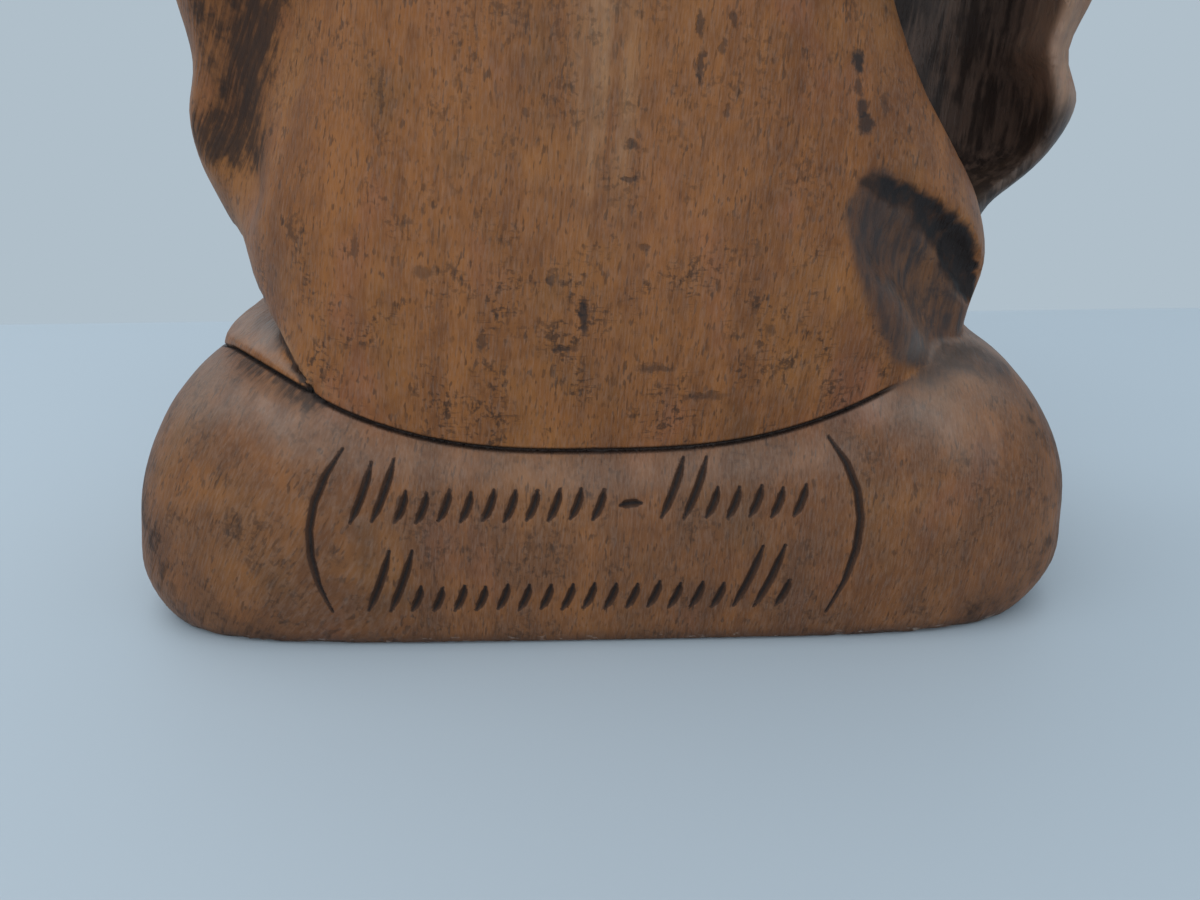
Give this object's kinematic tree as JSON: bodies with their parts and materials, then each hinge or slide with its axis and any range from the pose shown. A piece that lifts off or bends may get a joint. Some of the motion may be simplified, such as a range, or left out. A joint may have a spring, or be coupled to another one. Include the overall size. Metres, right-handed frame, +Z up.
{
  "type": "carved wooden statue",
  "caption": "Carved wooden statue of a standing woman in a long gown with hanging sleeves and a veiled headdress, in one block with a low rounded base that carries two rows of gouged strokes.",
  "frame": {"origin": "middle of the base's flat underside", "axes": "+Z up from the underside to the top of the headdress, -Y towards the viewer, the way the figure faces, +X to the viewer's right"},
  "size_m": [0.1696, 0.1072, 0.421],
  "materials": {
    "carved_wood": "stained and waxed beech, satin, with dark stain left in the hollows"
  },
  "bodies": {
    "root": {"statue": "carved_wood"}
  },
  "joints": []
}
